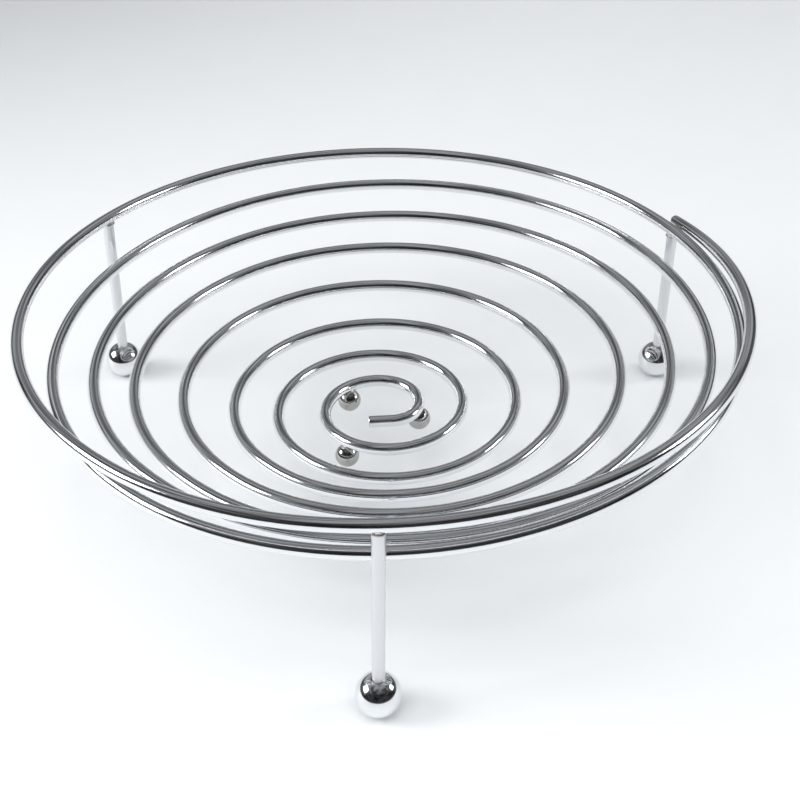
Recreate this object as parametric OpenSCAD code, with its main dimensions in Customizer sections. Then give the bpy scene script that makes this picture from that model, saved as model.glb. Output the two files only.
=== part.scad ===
// A round wire stand: one long wire coiled into a shallow dish, carried on three
// posts with ball feet, with three small balls hung under its middle.
// Millimetres, +Z up, the table is z = 0. A place on the wire is given by the
// degrees travelled from its outer end, clockwise seen from above; 0 is at +X.

/* [Wire] */
// Diameter of the wire
wire_d = 4.8; // [4:0.1:5]
// Bend schedule from the rim inwards: [degrees travelled, distance from the middle, height]
bends = [
    [-30, 146, 74.5],
    [0, 139.5, 80.5],
    [50, 133, 83],
    [100, 130, 82.5],
    [180, 137.5, 82.5],
    [270, 145, 76],
    [360, 137, 72.5],
    [450, 124.5, 66.5],
    [540, 127.5, 64.5],
    [630, 137, 63.5],
    [720, 127, 62.5],
    [810, 113.5, 61.5],
    [900, 112, 60.5],
    [1080, 111.5, 58.5],
    [1260, 97, 54.5],
    [1440, 93, 51],
    [1620, 79, 47],
    [1800, 71.5, 42.5],
    [1980, 60, 38.5],
    [2160, 52.5, 35],
    [2340, 43, 33.5],
    [2520, 31, 32.5],
    [2700, 24.5, 31.5],
    [2800, 20.5, 30.5],
    [2880, 12, 30]
]; // turns stay a wire's thickness or more apart
// Where the middle of the coil stands, left-right and front-back
coil_middle = [-1, -4.5]; // [-10:0.5:10]
// Radius of the last bend at the inner end
end_bend_r = 11; // [8:0.5:12]
// How far the last bend turns, in degrees
end_bend_angle = 61; // [40:1:75]
// Straight length after the last bend
end_straight = 9.5; // [4:0.5:11]

/* [Posts] */
// Diameter of each post
post_d = 4.5; // [4:0.1:4.6]
// Where the posts stand, in degrees travelled along the wire
post_at = [90.5, 213, 332]; // [80:0.5:340]
// How far each foot stands left of its post's top, as the posts lean a little
post_lean = [2.4, 3.3, 1.2]; // [0:0.1:5]

/* [Feet] */
// Diameter of each ball foot
foot_ball_d = 16; // [14:0.5:20]
// Thickness of the ball left under the hole for the post
foot_floor = 7; // [3:0.5:8]
// Gap between the post and its hole, all round
foot_gap = 0.02; // [0.01:0.01:0.05]

/* [Middle balls] */
// Diameter of each small ball
centre_ball_d = 9.5; // [8:0.5:11]
// Where the small balls hang, in degrees travelled along the wire
centre_ball_at = [2748, 2862, 2646]; // [2600:1:2900]
// How deep the wire sits in the top of each small ball
seat_depth = 0.3; // [0.1:0.1:0.6]

/* [Welds] */
// Thickness of the bead round the top of each post
rim_bead_d = 1.2; // [1:0.1:2.4]
// Thickness of the bead round the top of each small ball
centre_bead_d = 1.3; // [0.8:0.1:1.6]
// Diameter of the spot of weld at the outer end of the wire
tip_weld_d = 2.4; // [1.5:0.1:3]
// Where that spot lies, in degrees travelled along the wire
tip_weld_at = -28; // [-29:0.5:-20]

/* [Hidden] */
$fn = 48;

// The wire is swept as rings of WIRE_SIDES points, RING_STEP degrees of travel apart
RING_STEP = 9;
WIRE_SIDES = 10;
END_RINGS = 8;
// A ring encloses as much as the round wire does
ring_r = wire_d / 2 * sqrt(2 * PI / (WIRE_SIDES * sin(360 / WIRE_SIDES)));
LAP = 360;
// Half length, in degrees of travel, of the short arc of wire that seats are cut with
SEAT_SPAN = 8;
UP = [0, 0, 1];
last = len(bends) - 1;
coil_start = bends[0][0];
coil_end = bends[last][0];

function unit(v) = v / norm(v);

// Slope of a column of the bend schedule at row i, for a smooth curve through the rows
function slope(i, col) =
    let (a = bends[max(i - 1, 0)], b = bends[min(i + 1, last)])
    (b[col] - a[col]) / (b[0] - a[0]);

// Row of the schedule that starts the stretch holding t
function row(t, i = 0) = (i >= last - 1 || t < bends[i + 1][0]) ? i : row(t, i + 1);

// Smooth value of a column at t
function smooth(t, col) =
    let (
        i = row(t),
        a = bends[i],
        b = bends[i + 1],
        h = b[0] - a[0],
        u = (t - a[0]) / h
    )
    a[col] * (2 * u ^ 3 - 3 * u ^ 2 + 1)
    + slope(i, col) * h * (u ^ 3 - 2 * u ^ 2 + u)
    + b[col] * (3 * u ^ 2 - 2 * u ^ 3)
    + slope(i + 1, col) * h * (u ^ 3 - u ^ 2);

// Centre of the wire at t
function path(t) = [
    coil_middle.x + smooth(t, 1) * cos(t),
    coil_middle.y - smooth(t, 1) * sin(t),
    smooth(t, 2)
];

// One arc of wire through three points
module wire_arc(a, m, b) {
    u = m - a;
    v = b - a;
    w = cross(u, v);
    centre = a + (cross(w, u) * (v * v) + cross(v, w) * (u * u)) / (2 * (w * w));
    ex = unit(a - centre);
    ez = unit(w);
    ey = cross(ez, ex);
    r = norm(a - centre);
    sweep = 2 * asin(norm(v) / (2 * r));
    multmatrix([
        [ex.x, ey.x, ez.x, centre.x],
        [ex.y, ey.y, ez.y, centre.y],
        [ex.z, ey.z, ez.z, centre.z]
    ])
        rotate_extrude(angle = sweep, $fn = 360) translate([r, 0]) circle(d = wire_d);
}

// The short arc of true round wire about t, which seats are cut with
module wire_near(t) {
    wire_arc(path(t - SEAT_SPAN), path(t), path(t + SEAT_SPAN));
}

// The inner end: a level bend to the right and then a straight run, from where the coil ends
function level(angle) = [cos(angle), sin(angle), 0];
end_start = path(coil_end);
end_step = end_start - path(coil_end - 1);
end_turn = atan2(end_step.y, end_step.x);
function end_bend(a) = end_start + end_bend_r * (level(end_turn - 90) + level(end_turn + 90 - a));
function end_tip(length) = end_bend(end_bend_angle) + length * level(end_turn - end_bend_angle);

// Centre points of the whole wire, from the outer end to the cut inner end
route = concat(
    [for (t = [coil_start : RING_STEP : coil_end - 1]) path(t)],
    [for (i = [0 : END_RINGS]) end_bend(end_bend_angle * i / END_RINGS)],
    [end_tip(end_straight / 2), end_tip(end_straight)]
);
rings = len(route);

// Ring of points round the wire at route point i
function ring(i) =
    let (
        forward = unit(route[min(i + 1, rings - 1)] - route[max(i - 1, 0)]),
        side = unit(cross(forward, UP)),
        lift = cross(side, forward)
    )
    [
        for (k = [0 : WIRE_SIDES - 1])
            let (a = k * 360 / WIRE_SIDES)
            route[i] + ring_r * (side * cos(a) + lift * sin(a))
    ];

module spiral_wire() {
    points = [for (i = [0 : rings - 1]) each ring(i)];
    walls = [
        for (i = [0 : rings - 2], k = [0 : WIRE_SIDES - 1])
            let (a = i * WIRE_SIDES, next = (k + 1) % WIRE_SIDES)
            [a + k, a + next, a + WIRE_SIDES + next, a + WIRE_SIDES + k]
    ];
    outer_cap = [for (k = [WIRE_SIDES - 1 : -1 : 0]) k];
    inner_cap = [for (k = [0 : WIRE_SIDES - 1]) (rings - 1) * WIRE_SIDES + k];
    color("silver") polyhedron(points, concat([outer_cap, inner_cap], walls), convexity = 10);
}

// Turns the z axis to the direction v
module point_along(v) {
    rotate([0, acos(v.z / norm(v)), atan2(v.y, v.x)]) children();
}

// Spot of weld that fills the gap between the outer end and the turn beside it
module tip_weld() {
    inner = path(tip_weld_at + LAP);
    across = path(tip_weld_at) - inner;
    gap = norm(across) - 2 * ring_r;
    color("dimgray") translate(inner + unit(across) * ring_r) point_along(across)
        cylinder(d = tip_weld_d, h = gap);
}

// Centre of foot i, on the table
function foot_place(i) = [path(post_at[i]).x - post_lean[i], path(post_at[i]).y, 0];

// A round rod along the leaning line of post i, from foot_floor up
module rod(i, d, h) {
    foot = foot_place(i) + foot_floor * UP;
    rise = path(post_at[i]) - foot;
    translate(foot) point_along(rise) cylinder(d = d, h = h);
}

// Post from its seat in the ball foot up to the wire, its top hollowed to fit the wire
module leg_post(i) {
    length = norm(path(post_at[i]) - foot_place(i) - foot_floor * UP);
    color("gainsboro") difference() {
        rod(i, post_d, length);
        wire_near(post_at[i]);
    }
}

module foot_ball(i) {
    color("silver") difference() {
        translate(foot_place(i) + foot_ball_d / 2 * UP) sphere(d = foot_ball_d, $fn = 96);
        rod(i, post_d + 2 * foot_gap, foot_ball_d);
    }
}

// Bead of weld round the top of a post, under the wire
module rim_weld(i) {
    top = path(post_at[i]);
    color("gray") difference() {
        translate(top - wire_d / 2 * UP)
            rotate_extrude() translate([post_d / 2, 0]) circle(d = rim_bead_d, $fn = 24);
        rod(i, post_d, 2 * top.z);
        wire_near(post_at[i]);
    }
}

// Centre of the small ball hung under the wire at t
function centre_ball_centre(t) = path(t) - ((wire_d + centre_ball_d) / 2 - seat_depth) * UP;

module centre_ball(t) {
    color("silver") difference() {
        translate(centre_ball_centre(t)) sphere(d = centre_ball_d, $fn = 72);
        wire_near(t);
    }
}

// Bead of weld in the groove between a small ball and the wire
module centre_weld(t) {
    color("gray") difference() {
        translate(path(t) - wire_d / 2 * UP)
            rotate_extrude() translate([centre_bead_d, 0]) circle(d = centre_bead_d, $fn = 24);
        translate(centre_ball_centre(t)) sphere(d = centre_ball_d, $fn = 72);
        wire_near(t);
    }
}

spiral_wire();
tip_weld();
leg_post(0);  // leg_post_front
leg_post(1);  // leg_post_rear_left
leg_post(2);  // leg_post_rear_right
foot_ball(0);  // foot_ball_front
foot_ball(1);  // foot_ball_rear_left
foot_ball(2);  // foot_ball_rear_right
rim_weld(0);  // rim_weld_front
rim_weld(1);  // rim_weld_rear_left
rim_weld(2);  // rim_weld_rear_right
centre_ball(centre_ball_at[0]);  // centre_ball_1
centre_ball(centre_ball_at[1]);  // centre_ball_2
centre_ball(centre_ball_at[2]);  // centre_ball_3
centre_weld(centre_ball_at[0]);  // centre_weld_1
centre_weld(centre_ball_at[1]);  // centre_weld_2
centre_weld(centre_ball_at[2]);  // centre_weld_3
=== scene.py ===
"""Coiled wire stand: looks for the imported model, laid out as an add-on and run as a script.

Everything is in metres, +Z up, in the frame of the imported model. A place on the wire is given
by the degrees travelled from its outer end, clockwise seen from above, with 0 at +X.
"""

import math

import bmesh
import bpy
from mathutils import Euler, Matrix, Vector, kdtree, noise


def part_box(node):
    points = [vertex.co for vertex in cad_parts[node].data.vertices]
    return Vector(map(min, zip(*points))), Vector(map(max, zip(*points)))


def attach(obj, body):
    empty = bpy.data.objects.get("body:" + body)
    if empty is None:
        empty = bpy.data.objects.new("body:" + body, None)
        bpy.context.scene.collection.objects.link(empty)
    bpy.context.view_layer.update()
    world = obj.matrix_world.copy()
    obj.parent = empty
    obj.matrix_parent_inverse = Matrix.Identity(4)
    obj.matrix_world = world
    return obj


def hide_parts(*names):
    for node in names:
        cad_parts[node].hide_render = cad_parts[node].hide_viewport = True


bl_info = {
    "name": "Coiled Wire Stand",
    "version": (1, 0, 0),
    "blender": (4, 5, 0),
    "location": "View3D > Sidebar > Wire Stand",
    "description": "Builds a chromed stand of coiled wire on ball feet",
    "category": "Add Mesh",
}

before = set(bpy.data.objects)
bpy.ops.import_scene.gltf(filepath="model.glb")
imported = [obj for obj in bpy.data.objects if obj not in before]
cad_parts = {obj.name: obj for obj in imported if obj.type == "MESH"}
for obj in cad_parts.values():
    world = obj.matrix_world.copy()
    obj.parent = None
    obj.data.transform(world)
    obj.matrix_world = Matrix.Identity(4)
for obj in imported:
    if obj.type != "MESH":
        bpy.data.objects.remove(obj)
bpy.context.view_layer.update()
MM = 0.001
BODY = "root"
MERGE_DISTANCE = 0.002 * MM

# The wire's route, the same rows as in the part's source:
# degrees travelled, distance from the middle in mm, height in mm
BENDS = (
    (-30, 146, 74.5),
    (0, 139.5, 80.5),
    (50, 133, 83),
    (100, 130, 82.5),
    (180, 137.5, 82.5),
    (270, 145, 76),
    (360, 137, 72.5),
    (450, 124.5, 66.5),
    (540, 127.5, 64.5),
    (630, 137, 63.5),
    (720, 127, 62.5),
    (810, 113.5, 61.5),
    (900, 112, 60.5),
    (1080, 111.5, 58.5),
    (1260, 97, 54.5),
    (1440, 93, 51),
    (1620, 79, 47),
    (1800, 71.5, 42.5),
    (1980, 60, 38.5),
    (2160, 52.5, 35),
    (2340, 43, 33.5),
    (2520, 31, 32.5),
    (2700, 24.5, 31.5),
    (2800, 20.5, 30.5),
    (2880, 12, 30),
)
COIL_MIDDLE = Vector((-1, -4.5, 0)) * MM
COIL_START = BENDS[0][0]
COIL_END = BENDS[-1][0]
LAP = 360
LEGS = ("front", "rear_left", "rear_right")
POST_AT = {"front": 90.5, "rear_left": 213, "rear_right": 332}
END_SPOT_AT = -28
CENTRE_BALL_AT = {"1": 2748, "2": 2862, "3": 2646}

GRAIN_SHORTENING = 0.03
POST_RUST_DROP = 22 * MM
POST_RUST_REACH = 5 * MM
FOOT_GAP = 0.02 * MM
BEAD_SIDES = 14

# Places where the plating has worn through to rust: degrees travelled, half length in degrees, strength
RUST_SPOTS = (
    (246, 3, 0.7),
    (291, 2.5, 0.8),
    (304, 1.5, 0.6),
    (309, 1.5, 0.5),
    (397, 3, 0.6),
    (131, 2, 0.3),
    (331, 2, 0.3),
    (603, 3, 0.4),
    (1010, 4, 0.3),
)


class WireSettings(bpy.types.PropertyGroup):
    """Size and make of the long wire"""

    diameter: bpy.props.FloatProperty(
        name="Wire diameter", description="Thickness of the wire", default=4.8 * MM, unit="LENGTH"
    )
    step: bpy.props.FloatProperty(
        name="Ring spacing", description="Degrees of travel between rings of the mesh", default=2.0
    )
    bend_radius: bpy.props.FloatProperty(
        name="Last bend",
        description="Radius of the last bend at the inner end",
        default=11 * MM,
        unit="LENGTH",
    )
    bend_angle: bpy.props.FloatProperty(
        name="Last bend angle",
        description="How far the last bend turns",
        default=math.radians(61),
        subtype="ANGLE",
    )
    straight: bpy.props.FloatProperty(
        name="Straight end",
        description="Straight length after the last bend",
        default=9.5 * MM,
        unit="LENGTH",
    )


class BallSettings(bpy.types.PropertyGroup):
    """Posts and balls"""

    post_diameter: bpy.props.FloatProperty(
        name="Post diameter", description="Thickness of each post", default=4.5 * MM, unit="LENGTH"
    )
    hole_depth: bpy.props.FloatProperty(
        name="Hole floor",
        description="Height of the floor of the hole in a foot",
        default=7 * MM,
        unit="LENGTH",
    )
    rim_bead: bpy.props.FloatProperty(
        name="Rim bead",
        description="Thickness of the weld round a post's top",
        default=0.9 * MM,
        unit="LENGTH",
    )
    seat: bpy.props.FloatProperty(
        name="Seat depth",
        description="How deep the wire sits in a small ball",
        default=0.3 * MM,
        unit="LENGTH",
    )


class FinishSettings(bpy.types.PropertyGroup):
    """Colours and gloss of the metal"""

    chrome: bpy.props.FloatVectorProperty(
        name="Chrome",
        description="Colour of clean chrome plate",
        default=(0.76, 0.77, 0.79),
        size=3,
        subtype="COLOR",
    )
    dull: bpy.props.FloatVectorProperty(
        name="Dull chrome",
        description="Colour of clouded plate",
        default=(0.52, 0.53, 0.55),
        size=3,
        subtype="COLOR",
    )
    grain: bpy.props.FloatVectorProperty(
        name="Grain",
        description="Colour of the die lines in the wire",
        default=(0.36, 0.335, 0.32),
        size=3,
        subtype="COLOR",
    )
    ball: bpy.props.FloatVectorProperty(
        name="Ball",
        description="Colour of the plate on the feet",
        default=(0.62, 0.63, 0.65),
        size=3,
        subtype="COLOR",
    )
    # Painted shade: a darker plate colour for the small balls, standing in for the shade under the coil.
    small_ball: bpy.props.FloatVectorProperty(
        name="Small ball",
        description="Colour of the plate on the small balls",
        default=(0.44, 0.44, 0.43),
        size=3,
        subtype="COLOR",
    )
    rust: bpy.props.FloatVectorProperty(
        name="Rust",
        description="Colour where the plate has worn through",
        default=(0.20, 0.085, 0.035),
        size=3,
        subtype="COLOR",
    )
    post: bpy.props.FloatVectorProperty(
        name="Post",
        description="Colour of the posts",
        default=(0.63, 0.65, 0.69),
        size=3,
        subtype="COLOR",
    )


class StageSettings(bpy.types.PropertyGroup):
    """Floor, lights and camera"""

    floor: bpy.props.FloatVectorProperty(
        name="Floor",
        description="Colour of the floor",
        default=(0.86, 0.885, 0.90),
        size=3,
        subtype="COLOR",
    )
    key_power: bpy.props.FloatProperty(
        name="Key light", description="Power of the window on the left in watts", default=17.0
    )
    fill_power: bpy.props.FloatProperty(
        name="Fill light", description="Power of the window on the right in watts", default=6.0
    )
    top_power: bpy.props.FloatProperty(
        name="Top light", description="Power of the soft lamp over the front in watts", default=34.0
    )
    room: bpy.props.FloatProperty(
        name="Room", description="Brightness of the room above and behind the stage", default=0.34
    )
    focal_length: bpy.props.FloatProperty(
        name="Focal length",
        description="Lens of the camera in millimetres on a 36 mm sensor",
        default=59.51,
    )
    camera_place: bpy.props.FloatVectorProperty(
        name="Camera",
        description="Where the camera stands",
        default=(0.0069, -0.4372, 0.3473),
        size=3,
        subtype="TRANSLATION",
    )
    camera_pitch: bpy.props.FloatProperty(
        name="Pitch",
        description="How far the camera looks down",
        default=math.radians(35.64),
        subtype="ANGLE",
    )
    camera_roll: bpy.props.FloatProperty(
        name="Roll",
        description="How far the camera leans",
        default=math.radians(-1.45),
        subtype="ANGLE",
    )
    camera_shift: bpy.props.FloatVectorProperty(
        name="Shift",
        description="Shift of the lens, as shares of the frame",
        default=(-0.0063, -0.003),
        size=2,
    )


# ---------------------------------------------------------------- the wire's route


def bend_slope(i, column):
    """Slope of one column of the route at row i, for a smooth curve through the rows."""
    before = BENDS[max(i - 1, 0)]
    after = BENDS[min(i + 1, len(BENDS) - 1)]
    return (after[column] - before[column]) / (after[0] - before[0])


def bend_value(t, column):
    """Smooth value of one column of the route at t."""
    i = 0
    while i < len(BENDS) - 2 and t >= BENDS[i + 1][0]:
        i += 1
    a, b = BENDS[i], BENDS[i + 1]
    h = b[0] - a[0]
    u = (t - a[0]) / h
    return (
        a[column] * (2 * u**3 - 3 * u**2 + 1)
        + bend_slope(i, column) * h * (u**3 - 2 * u**2 + u)
        + b[column] * (3 * u**2 - 2 * u**3)
        + bend_slope(i + 1, column) * h * (u**3 - u**2)
    )


def wire_centre(t):
    """Centre of the wire at t degrees travelled."""
    reach = bend_value(t, 1)
    angle = math.radians(-t)
    flat = Vector((reach * math.cos(angle), reach * math.sin(angle), bend_value(t, 2)))
    return COIL_MIDDLE + flat * MM


def wire_route(settings):
    """Centre points of the whole wire with the degrees travelled and the share of full thickness at each."""
    radius = settings.diameter / 2
    points = []
    start = wire_centre(COIL_START)
    back = (start - wire_centre(COIL_START + 1)).normalized()
    for lift in (4, 20, 36, 52, 66, 78):
        angle = math.radians(lift)
        points.append((start + back * radius * math.cos(angle), COIL_START, math.sin(angle)))
    count = round((COIL_END - COIL_START) / settings.step)
    for i in range(count + 1):
        t = COIL_START + (COIL_END - COIL_START) * i / count
        points.append((wire_centre(t), t, 1.0))
    points += inner_end(settings)
    return points


def inner_end(settings):
    """The last bend and the straight run to the cut end, with a small chamfer."""
    start = wire_centre(COIL_END)
    heading = (start - wire_centre(COIL_END - 1)).normalized()
    heading.z = 0
    heading.normalize()
    side = Vector((heading.y, -heading.x, 0))
    r = settings.bend_radius
    points = []
    steps = 16
    for i in range(1, steps + 1):
        a = settings.bend_angle * i / steps
        at = start + heading * r * math.sin(a) + side * r * (1 - math.cos(a))
        points.append((at, COIL_END + 30 * i / steps, 1.0))
    corner = points[-1][0]
    last = heading * math.cos(settings.bend_angle) + side * math.sin(settings.bend_angle)
    cut = ((0.25, 1.0), (0.5, 1.0), (0.75, 1.0), (0.96, 1.0), (0.985, 0.985), (1.0, 0.93))
    for share, thickness in cut:
        points.append((corner + last * settings.straight * share, COIL_END + 30 + 30 * share, thickness))
    return points


# ---------------------------------------------------------------- mesh helpers


def finish_piece(mesh, name, material, nodes, sharp=40):
    """Makes an object of a mesh, gives it its finish and lets it stand for its CAD nodes."""
    piece = bpy.data.objects.new(name, mesh)
    bpy.context.scene.collection.objects.link(piece)
    mesh.materials.clear()
    mesh.materials.append(material)
    mesh.polygons.foreach_set("use_smooth", [True] * len(mesh.polygons))
    mesh.set_sharp_from_angle(angle=math.radians(sharp))
    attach(piece, BODY)
    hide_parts(*nodes)
    return piece


def clean(bm):
    """Joins points that lie on each other and turns the faces outwards."""
    bmesh.ops.remove_doubles(bm, verts=bm.verts, dist=MERGE_DISTANCE)
    bmesh.ops.recalc_face_normals(bm, faces=bm.faces)


def mesh_from(bm, name):
    """Writes a bmesh to a new mesh with clean outward faces."""
    clean(bm)
    mesh = bpy.data.meshes.new(name)
    bm.to_mesh(mesh)
    bm.free()
    return mesh


def spin_profile(bm, outline, at, steps):
    """Turns an open outline of (distance, height) points round the upright line through at."""
    verts = [bm.verts.new(at + Vector((d, 0, h))) for d, h in outline]
    edges = [bm.edges.new(pair) for pair in zip(verts, verts[1:])]
    bmesh.ops.spin(
        bm, geom=verts + edges, axis=(0, 0, 1), cent=at, steps=steps, angle=math.tau, use_merge=True
    )


def arc_outline(radius, start, end, steps):
    """Points (distance, height) on an arc about the middle, angles in degrees up from level."""
    points = []
    for i in range(steps + 1):
        a = math.radians(start + (end - start) * i / steps)
        points.append((radius * math.cos(a), radius * math.sin(a)))
    return points


def roughen(bm, amount, grain, seed):
    """Moves every vertex a little along its normal by smooth noise."""
    clean(bm)
    bm.normal_update()
    for v in bm.verts:
        v.co += v.normal * amount * noise.noise(v.co / grain + Vector((seed, seed * 2, 0)))


def mark_points(mesh, name, values):
    """Stores one number for each vertex of a mesh, for its material to read."""
    layer = mesh.attributes.new(name, "FLOAT", "POINT")
    layer.data.foreach_set("value", values)


# ---------------------------------------------------------------- materials


class Recipe:
    """A material under construction: short calls for the nodes that finishes share."""

    def __init__(self, name, metallic=1.0):
        self.material = bpy.data.materials.new(name)
        self.material.use_nodes = True
        self.tree = self.material.node_tree
        self.shader = self.tree.nodes["Principled BSDF"]
        self.shader.inputs["Metallic"].default_value = metallic
        self.places = self.tree.nodes.new("ShaderNodeTexCoord").outputs["Object"]

    def link(self, value, socket):
        self.tree.links.new(value, socket)

    def noise(self, scale, detail=3.0, stretch=None, vector=None):
        node = self.tree.nodes.new("ShaderNodeTexNoise")
        node.inputs["Scale"].default_value = scale
        node.inputs["Detail"].default_value = detail
        place = vector or self.places
        if stretch:
            mapping = self.tree.nodes.new("ShaderNodeMapping")
            mapping.inputs["Scale"].default_value = stretch
            self.link(place, mapping.inputs["Vector"])
            place = mapping.outputs["Vector"]
        self.link(place, node.inputs["Vector"])
        return node.outputs["Fac"]

    def cells(self, scale):
        node = self.tree.nodes.new("ShaderNodeTexVoronoi")
        node.inputs["Scale"].default_value = scale
        self.link(self.places, node.inputs["Vector"])
        return node.outputs["Distance"]

    def attribute(self, name, output="Fac"):
        node = self.tree.nodes.new("ShaderNodeAttribute")
        node.attribute_name = name
        return node.outputs[output]

    def ramp(self, value, low, high, to_low=0.0, to_high=1.0):
        node = self.tree.nodes.new("ShaderNodeMapRange")
        node.interpolation_type = "SMOOTHSTEP"
        self.link(value, node.inputs["Value"])
        names = ("From Min", "From Max", "To Min", "To Max")
        for socket, number in zip(names, (low, high, to_low, to_high)):
            node.inputs[socket].default_value = number
        return node.outputs["Result"]

    def maths(self, operation, a, b):
        node = self.tree.nodes.new("ShaderNodeMath")
        node.operation = operation
        for socket, value in zip(node.inputs, (a, b)):
            if isinstance(value, (int, float)):
                socket.default_value = value
            else:
                self.link(value, socket)
        return node.outputs["Value"]

    def mix(self, factor, a, b):
        node = self.tree.nodes.new("ShaderNodeMix")
        node.data_type = "RGBA"
        self.link(factor, node.inputs["Factor"])
        for socket, value in ((node.inputs[6], a), (node.inputs[7], b)):
            if isinstance(value, bpy.types.NodeSocket):
                self.link(value, socket)
            else:
                socket.default_value = (*value, 1.0)
        return node.outputs[2]

    def bump(self, height, strength, distance):
        node = self.tree.nodes.new("ShaderNodeBump")
        node.inputs["Strength"].default_value = strength
        node.inputs["Distance"].default_value = distance
        self.link(height, node.inputs["Height"])
        self.link(node.outputs["Normal"], self.shader.inputs["Normal"])

    def finish(self, colour, roughness):
        self.link(colour, self.shader.inputs["Base Color"])
        self.link(roughness, self.shader.inputs["Roughness"])
        return self.material


def wire_chrome(finish):
    """Bright plate on drawn wire: die lines along it, faint clouds, fine pits and rust where marked."""
    recipe = Recipe("wire_chrome")
    clouds = recipe.ramp(recipe.noise(90, 4), 0.42, 0.72, 0.0, 0.5)
    lines = recipe.noise(1500, 3, vector=recipe.attribute("grain", "Vector"))
    pits = recipe.ramp(recipe.cells(620), 0.2, 0.08)
    pits = recipe.maths("MULTIPLY", pits, recipe.ramp(recipe.noise(120, 3), 0.58, 0.68))
    rust = recipe.maths("MULTIPLY", recipe.attribute("worn"), recipe.ramp(recipe.noise(620, 5), 0.44, 0.56))
    colour = recipe.mix(clouds, finish.chrome, finish.dull)
    colour = recipe.mix(recipe.ramp(lines, 0.4, 0.66, 0.0, 0.85), colour, finish.grain)
    colour = recipe.mix(pits, colour, (0.16, 0.14, 0.12))
    colour = recipe.mix(rust, colour, finish.rust)
    rough = recipe.ramp(lines, 0.3, 0.7, 0.1, 0.24)
    rough = recipe.maths("MAXIMUM", rough, recipe.maths("MULTIPLY", pits, 0.45))
    rough = recipe.maths("MAXIMUM", rough, recipe.maths("MULTIPLY", rust, 0.6))
    height = recipe.maths("SUBTRACT", recipe.maths("MULTIPLY", lines, 0.8), pits)
    recipe.bump(height, 0.3, 0.05 * MM)
    return recipe.finish(colour, rough)


def plated_ball(name, plate, dull):
    """Mirror plate on a turned ball, with haze and a few pinholes."""
    recipe = Recipe(name)
    haze = recipe.ramp(recipe.noise(260, 4), 0.45, 0.7)
    pits = recipe.ramp(recipe.cells(430), 0.13, 0.05)
    pits = recipe.maths("MULTIPLY", pits, recipe.ramp(recipe.noise(190, 2), 0.55, 0.62))
    colour = recipe.mix(haze, plate, dull)
    colour = recipe.mix(pits, colour, (0.12, 0.10, 0.08))
    rough = recipe.ramp(recipe.noise(230, 3), 0.3, 0.75, 0.035, 0.11)
    rough = recipe.maths("MAXIMUM", rough, recipe.maths("MULTIPLY", pits, 0.4))
    recipe.bump(recipe.maths("SUBTRACT", recipe.maths("MULTIPLY", haze, 0.2), pits), 0.3, 0.04 * MM)
    return recipe.finish(colour, rough)


def ball_chrome(finish):
    """Bright plate of the feet."""
    return plated_ball("ball_chrome", finish.ball, finish.dull)


def small_ball_chrome(finish):
    """Plate of the small balls, greyed as painted shade for the shadow under the coil that they hang in and
    reflect.
    """
    return plated_ball("small_ball_chrome", finish.small_ball, finish.grain)


def post_steel(finish):
    """Satin plate on straight rod: pale and faintly marked, with a few pits towards its foot."""
    recipe = Recipe("post_steel")
    mottle = recipe.ramp(recipe.noise(520, 5, stretch=(1, 1, 0.5)), 0.4, 0.65, 0.0, 0.6)
    marks = recipe.noise(900, 3, stretch=(1, 1, 0.08))
    height = recipe.tree.nodes.new("ShaderNodeSeparateXYZ")
    recipe.link(recipe.places, height.inputs["Vector"])
    low = recipe.ramp(height.outputs["Z"], 30 * MM, 24 * MM, 0.0, 0.8)
    pits = recipe.ramp(recipe.cells(700), 0.42, 0.22)
    pits = recipe.maths("MULTIPLY", pits, recipe.ramp(recipe.noise(260, 2), 0.44, 0.5))
    pits = recipe.maths("MULTIPLY", pits, low)
    rust = recipe.maths("MULTIPLY", recipe.attribute("worn"), recipe.ramp(recipe.noise(480, 4), 0.44, 0.58))
    colour = recipe.mix(mottle, finish.post, finish.dull)
    colour = recipe.mix(pits, colour, (0.14, 0.11, 0.09))
    colour = recipe.mix(rust, colour, finish.rust)
    rough = recipe.ramp(recipe.noise(420, 4), 0.3, 0.7, 0.1, 0.2)
    recipe.bump(recipe.maths("SUBTRACT", recipe.maths("MULTIPLY", marks, 0.6), pits), 0.25, 0.03 * MM)
    return recipe.finish(colour, rough)


def weld_metal(finish):
    """Lumpy weld with plate over it, browned in patches."""
    recipe = Recipe("weld_metal")
    scale = recipe.ramp(recipe.noise(700, 4), 0.4, 0.65)
    colour = recipe.mix(scale, finish.dull, (0.13, 0.10, 0.08))
    rough = recipe.ramp(recipe.noise(900, 3), 0.3, 0.7, 0.22, 0.5)
    recipe.bump(recipe.noise(1400, 4), 0.5, 0.08 * MM)
    return recipe.finish(colour, rough)


def table_paint_with_painted_shade(settings):
    """Smooth pale board, with painted shade that greys it towards its far left corner, where the light falls
    off.
    """
    recipe = Recipe("table_paint_with_painted_shade", metallic=0.0)
    reach = recipe.tree.nodes.new("ShaderNodeVectorMath")
    reach.operation = "DISTANCE"
    reach.inputs[1].default_value = (-0.62, 0.78, 0)
    recipe.link(recipe.places, reach.inputs[0])
    # Painted shade: the board is greyed towards its far left corner, standing in for the falloff of the
    # light.
    corner = recipe.ramp(reach.outputs["Value"], 0.85, 0.1)
    shade = tuple(c * 0.62 for c in settings.floor)
    colour = recipe.mix(corner, settings.floor, shade)
    rough = recipe.ramp(recipe.noise(40, 2), 0.3, 0.7, 0.5, 0.6)
    return recipe.finish(colour, rough)


def finish_of(maker):
    """A material made once and shared by the pieces that have that finish."""
    found = bpy.data.materials.get(maker.__name__)
    return found or maker(bpy.context.scene.stand_finish)


# ---------------------------------------------------------------- operators


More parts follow.
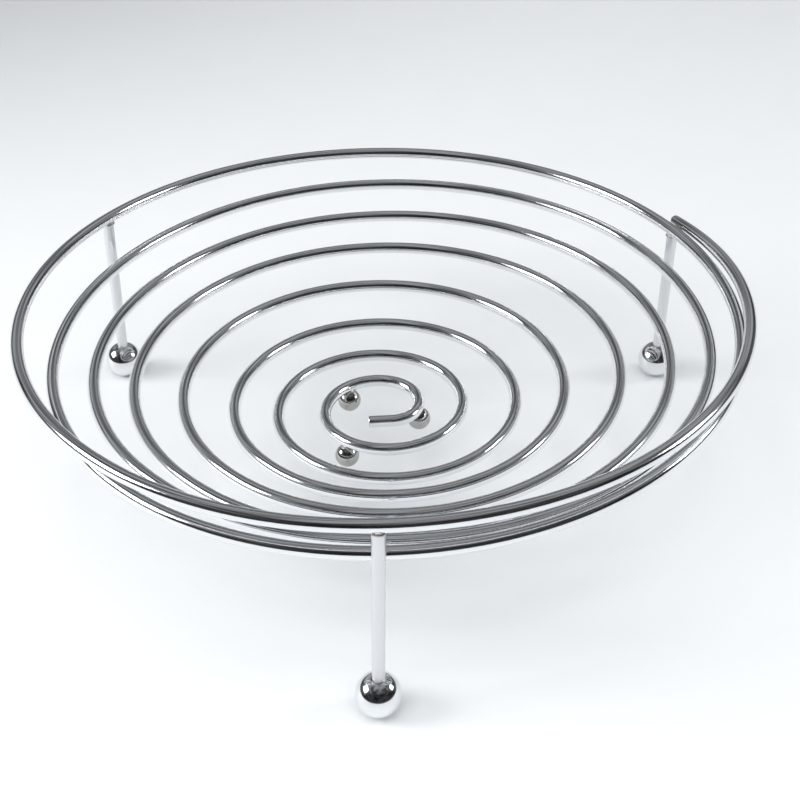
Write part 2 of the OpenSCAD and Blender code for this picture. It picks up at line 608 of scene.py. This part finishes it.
class STAND_OT_wire(bpy.types.Operator):
    """Sweeps the long wire along its route"""

    bl_idname = "stand.wire"
    bl_label = "Coiled wire"

    def execute(self, context):
        settings = context.scene.stand_wire
        route = wire_route(settings)
        curve = bpy.data.curves.new("coiled_wire", "CURVE")
        curve.dimensions = "3D"
        spline = curve.splines.new("POLY")
        spline.points.add(len(route) - 1)
        for point, (place, _, share) in zip(spline.points, route):
            point.co = (*place, 1.0)
            point.radius = share
        curve.bevel_depth = settings.diameter / 2
        curve.bevel_resolution = 12
        curve.use_fill_caps = True
        holder = bpy.data.objects.new("wire_route", curve)
        context.scene.collection.objects.link(holder)
        graph = context.evaluated_depsgraph_get()
        mesh = bpy.data.meshes.new_from_object(holder.evaluated_get(graph))
        bpy.data.objects.remove(holder)
        mesh.name = "coiled_wire"
        bm = bmesh.new()
        bm.from_mesh(mesh)
        clean(bm)
        bm.to_mesh(mesh)
        bm.free()
        worn = [0.0] * len(mesh.vertices)
        for t, half, strength in RUST_SPOTS:
            spot = wire_centre(t)
            size = (wire_centre(t + half) - spot).length
            for i, v in enumerate(mesh.vertices):
                away = (v.co - spot).length / size
                if away < 2:
                    worn[i] = max(worn[i], strength * math.exp(-away * away * 1.5))
        self.lay_grain(mesh, [place for place, _, _ in route])
        mark_points(mesh, "worn", worn)
        finish_piece(mesh, "coiled_wire", finish_of(wire_chrome), ["spiral_wire"])
        return {"FINISHED"}

    def lay_grain(self, mesh, places):
        """Stores at each vertex where it lies across the wire and, much shortened, along it."""
        tree = kdtree.KDTree(len(places))
        for i, place in enumerate(places):
            tree.insert(place, i)
        tree.balance()
        lengths = [0.0]
        for a, b in zip(places, places[1:]):
            lengths.append(lengths[-1] + (b - a).length)
        layer = mesh.attributes.new("grain", "FLOAT_VECTOR", "POINT")
        for v, item in zip(mesh.vertices, layer.data):
            _, i, _ = tree.find(v.co)
            forward = (places[min(i + 1, len(places) - 1)] - places[max(i - 1, 0)]).normalized()
            side = forward.cross(Vector((0, 0, 1))).normalized()
            off = v.co - places[i]
            item.vector = (off.dot(side), off.z, lengths[i] * GRAIN_SHORTENING)


class STAND_OT_posts(bpy.types.Operator):
    """Stands a post between each foot and the wire"""

    bl_idname = "stand.posts"
    bl_label = "Posts"

    def execute(self, context):
        balls = context.scene.stand_balls
        radius = balls.post_diameter / 2
        chamfer = 0.4 * MM
        for leg in LEGS:
            top = wire_centre(POST_AT[leg])
            low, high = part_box("foot_ball_" + leg)
            foot = Vector(((low.x + high.x) / 2, (low.y + high.y) / 2, balls.hole_depth))
            length = (top - foot).length
            levels = 24
            outline = [(0, 0), (radius - chamfer, 0)]
            for i in range(levels + 1):
                outline.append((radius, chamfer + (length - chamfer) * i / levels))
            outline.append((0, length))
            bm = bmesh.new()
            spin_profile(bm, outline, Vector(), 40)
            stand = (top - foot).to_track_quat("Z", "Y").to_matrix().to_4x4()
            bmesh.ops.transform(bm, matrix=Matrix.Translation(foot) @ stand, verts=bm.verts)
            roughen(bm, 0.006 * MM, 9 * MM, POST_AT[leg])
            mesh = mesh_from(bm, "post_" + leg)
            spot = top + (foot - top).normalized() * POST_RUST_DROP
            worn = [0.7 * math.exp(-(((v.co - spot).length / POST_RUST_REACH) ** 2)) for v in mesh.vertices]
            mark_points(mesh, "worn", worn if leg == "rear_right" else [0.0] * len(worn))
            finish_piece(mesh, "post_" + leg, finish_of(post_steel), ["leg_post_" + leg])
        return {"FINISHED"}


class STAND_OT_feet(bpy.types.Operator):
    """Turns the three ball feet with a hole for the post"""

    bl_idname = "stand.feet"
    bl_label = "Ball feet"

    def execute(self, context):
        balls = context.scene.stand_balls
        for leg in LEGS:
            low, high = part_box("foot_ball_" + leg)
            radius = (high.x - low.x) / 2
            at = Vector(((low.x + high.x) / 2, (low.y + high.y) / 2, low.z + radius))
            hole = balls.post_diameter / 2 + FOOT_GAP
            lip = math.degrees(math.acos((hole + 0.35 * MM) / radius))
            outline = arc_outline(radius, -90, lip, 56)
            outline[0] = (0, -radius)
            edge = outline[-1][1]
            outline += [(hole + 0.1 * MM, edge - 0.05 * MM), (hole, edge - 0.3 * MM)]
            outline += [(hole, balls.hole_depth - radius), (0, balls.hole_depth - radius)]
            bm = bmesh.new()
            spin_profile(bm, outline, at, 96)
            mesh = mesh_from(bm, "foot_" + leg)
            finish_piece(mesh, "foot_" + leg, finish_of(ball_chrome), ["foot_ball_" + leg], 60)
        return {"FINISHED"}


class STAND_OT_small_balls(bpy.types.Operator):
    """Hangs the small balls under the middle of the coil"""

    bl_idname = "stand.small_balls"
    bl_label = "Small balls"

    def execute(self, context):
        for number in CENTRE_BALL_AT:
            low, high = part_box("centre_ball_" + number)
            radius = (high.x - low.x) / 2
            at = Vector(((low.x + high.x) / 2, (low.y + high.y) / 2, low.z + radius))
            bm = bmesh.new()
            bmesh.ops.create_uvsphere(
                bm, u_segments=72, v_segments=48, radius=radius, matrix=Matrix.Translation(at)
            )
            mesh = mesh_from(bm, "small_ball_" + number)
            name = "small_ball_" + number
            plate = finish_of(small_ball_chrome)
            finish_piece(mesh, name, plate, ["centre_ball_" + number], 60)
        return {"FINISHED"}


class STAND_OT_welds(bpy.types.Operator):
    """Lays the weld beads at the posts, the small balls and the outer end"""

    bl_idname = "stand.welds"
    bl_label = "Welds"

    def execute(self, context):
        balls = context.scene.stand_balls
        wire = context.scene.stand_wire
        for leg in LEGS:
            top = wire_centre(POST_AT[leg])
            at = Vector((top.x, top.y, top.z - wire.diameter / 2 + balls.seat))
            self.bead("bead_" + leg, "rim_weld_" + leg, at, balls.post_diameter / 2, balls.rim_bead / 2)
        for number, t in CENTRE_BALL_AT.items():
            low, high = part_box("centre_weld_" + number)
            top = wire_centre(t)
            at = Vector((top.x, top.y, top.z - wire.diameter / 2 + 0.1 * MM))
            width = (high.x - low.x) / 2
            self.bead("bead_ball_" + number, "centre_weld_" + number, at, width * 0.55, width * 0.4)
        self.end_spot()
        return {"FINISHED"}

    def bead(self, name, node, at, ring, thickness):
        """A lumpy ring of weld."""
        bm = bmesh.new()
        section = []
        for i in range(BEAD_SIDES):
            a = math.tau * i / BEAD_SIDES
            section.append((ring + thickness * math.cos(a), thickness * math.sin(a)))
        spin_profile(bm, section + section[:1], at, 48)
        roughen(bm, thickness * 0.45, thickness * 1.6, at.x * 1000)
        mesh = mesh_from(bm, name)
        finish_piece(mesh, name, finish_of(weld_metal), [node], 80)

    def end_spot(self):
        """The spot of weld that holds the outer end to the turn beside it."""
        at = (wire_centre(END_SPOT_AT) + wire_centre(END_SPOT_AT + LAP)) / 2
        low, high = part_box("tip_weld")
        radius = (high.z - low.z) / 2
        bm = bmesh.new()
        bmesh.ops.create_icosphere(bm, subdivisions=4, radius=radius, matrix=Matrix.Translation(at))
        roughen(bm, radius * 0.3, radius * 0.9, 5)
        mesh = mesh_from(bm, "end_spot")
        finish_piece(mesh, "end_spot", finish_of(weld_metal), ["tip_weld"], 80)


class STAND_OT_stage(bpy.types.Operator):
    """Sets the pale floor, the soft lights and the camera"""

    bl_idname = "stand.stage"
    bl_label = "Stage"

    def execute(self, context):
        settings = context.scene.stand_stage
        bm = bmesh.new()
        bmesh.ops.create_grid(bm, x_segments=1, y_segments=1, size=4)
        floor = bpy.data.objects.new("floor", mesh_from(bm, "floor"))
        context.scene.collection.objects.link(floor)
        floor.data.materials.append(table_paint_with_painted_shade(settings))
        self.light(context, "window_left", (-1.5, -0.1, 0.9), 0.8, 0.6, settings.key_power)
        self.light(context, "window_right", (1.45, 0.1, 0.75), 0.45, 0.4, settings.fill_power)
        soft = self.light(context, "soft_lamp", (-0.1, -0.7, 1.6), 2.4, 2.0, settings.top_power)
        soft.visible_glossy = False
        self.room(context, settings)
        self.camera(context, settings)
        context.scene.view_settings.view_transform = "Standard"
        return {"FINISHED"}

    def light(self, context, name, place, width, height, power):
        """One rectangular soft light that looks at the stand."""
        data = bpy.data.lights.new(name, "AREA")
        data.shape = "RECTANGLE"
        data.size = width
        data.size_y = height
        data.energy = power
        lamp = bpy.data.objects.new(name, data)
        lamp.location = place
        lamp.rotation_euler = Vector(place).to_track_quat("Z", "Y").to_euler()
        context.scene.collection.objects.link(lamp)
        return lamp

    def room(self, context, settings):
        """A room that is grey above and behind the stand and dark low down in front."""
        world = bpy.data.worlds.new("room")
        world.use_nodes = True
        tree = world.node_tree
        place = tree.nodes.new("ShaderNodeTexCoord")
        split = tree.nodes.new("ShaderNodeSeparateXYZ")
        blend = tree.nodes.new("ShaderNodeMath")
        blend.operation = "MULTIPLY_ADD"
        blend.inputs[1].default_value = 0.6
        rise = tree.nodes.new("ShaderNodeMapRange")
        rise.interpolation_type = "SMOOTHSTEP"
        tree.links.new(place.outputs["Generated"], split.inputs["Vector"])
        tree.links.new(split.outputs["Y"], blend.inputs[0])
        tree.links.new(split.outputs["Z"], blend.inputs[2])
        tree.links.new(blend.outputs["Value"], rise.inputs["Value"])
        rise.inputs["From Min"].default_value = 0.05
        rise.inputs["From Max"].default_value = 1.0
        rise.inputs["To Min"].default_value = settings.room * 0.12
        rise.inputs["To Max"].default_value = settings.room
        stretch = tree.nodes.new("ShaderNodeMapping")
        stretch.inputs["Scale"].default_value = (1.0, 1.0, 2.2)
        patches = tree.nodes.new("ShaderNodeTexNoise")
        patches.inputs["Scale"].default_value = 2.6
        patches.inputs["Detail"].default_value = 2.0
        contrast = tree.nodes.new("ShaderNodeMapRange")
        contrast.inputs["From Min"].default_value = 0.4
        contrast.inputs["From Max"].default_value = 0.6
        contrast.inputs["To Min"].default_value = 0.2
        contrast.inputs["To Max"].default_value = 1.15
        product = tree.nodes.new("ShaderNodeMath")
        product.operation = "MULTIPLY"
        tree.links.new(place.outputs["Generated"], stretch.inputs["Vector"])
        tree.links.new(stretch.outputs["Vector"], patches.inputs["Vector"])
        tree.links.new(patches.outputs["Fac"], contrast.inputs["Value"])
        tree.links.new(rise.outputs["Result"], product.inputs[0])
        tree.links.new(contrast.outputs["Result"], product.inputs[1])
        background = tree.nodes["Background"]
        background.inputs["Color"].default_value = (0.95, 0.97, 1.0, 1.0)
        tree.links.new(product.outputs["Value"], background.inputs["Strength"])
        context.scene.world = world

    def camera(self, context, settings):
        """The camera, a little above the rim and in front."""
        data = bpy.data.cameras.new("camera")
        data.lens = settings.focal_length
        data.sensor_width = 36
        data.shift_x = settings.camera_shift[0]
        data.shift_y = settings.camera_shift[1]
        data.clip_start = 0.01
        camera = bpy.data.objects.new("camera", data)
        tilt = Euler((math.pi / 2 - settings.camera_pitch, 0, 0)).to_matrix().to_4x4()
        lean = Matrix.Rotation(settings.camera_roll, 4, "Z")
        camera.matrix_world = Matrix.Translation(settings.camera_place) @ tilt @ lean
        context.scene.collection.objects.link(camera)
        context.scene.camera = camera


class STAND_PT_panel(bpy.types.Panel):
    """Lists the settings and the steps that build the stand"""

    bl_idname = "STAND_PT_panel"
    bl_label = "Wire Stand"
    bl_space_type = "VIEW_3D"
    bl_region_type = "UI"
    bl_category = "Wire Stand"

    def draw(self, context):
        scene = context.scene
        for group in (scene.stand_wire, scene.stand_balls, scene.stand_finish, scene.stand_stage):
            box = self.layout.box()
            for name in group.bl_rna.properties.keys():
                if name not in ("name", "rna_type"):
                    box.prop(group, name)
        for step in STEPS:
            self.layout.operator(step.bl_idname)


STEPS = (STAND_OT_wire, STAND_OT_posts, STAND_OT_feet, STAND_OT_small_balls, STAND_OT_welds, STAND_OT_stage)
GROUPS = {
    "stand_wire": WireSettings,
    "stand_balls": BallSettings,
    "stand_finish": FinishSettings,
    "stand_stage": StageSettings,
}


def register():
    for group in GROUPS.values():
        bpy.utils.register_class(group)
    for name, group in GROUPS.items():
        setattr(bpy.types.Scene, name, bpy.props.PointerProperty(type=group))
    for step in STEPS:
        bpy.utils.register_class(step)
    bpy.utils.register_class(STAND_PT_panel)


def unregister():
    bpy.utils.unregister_class(STAND_PT_panel)
    for step in reversed(STEPS):
        bpy.utils.unregister_class(step)
    for name in GROUPS:
        delattr(bpy.types.Scene, name)
    for group in reversed(list(GROUPS.values())):
        bpy.utils.unregister_class(group)


def main():
    register()
    bpy.ops.stand.wire()
    bpy.ops.stand.posts()
    bpy.ops.stand.feet()
    bpy.ops.stand.small_balls()
    bpy.ops.stand.welds()
    bpy.ops.stand.stage()


if __name__ == "__main__":
    main()
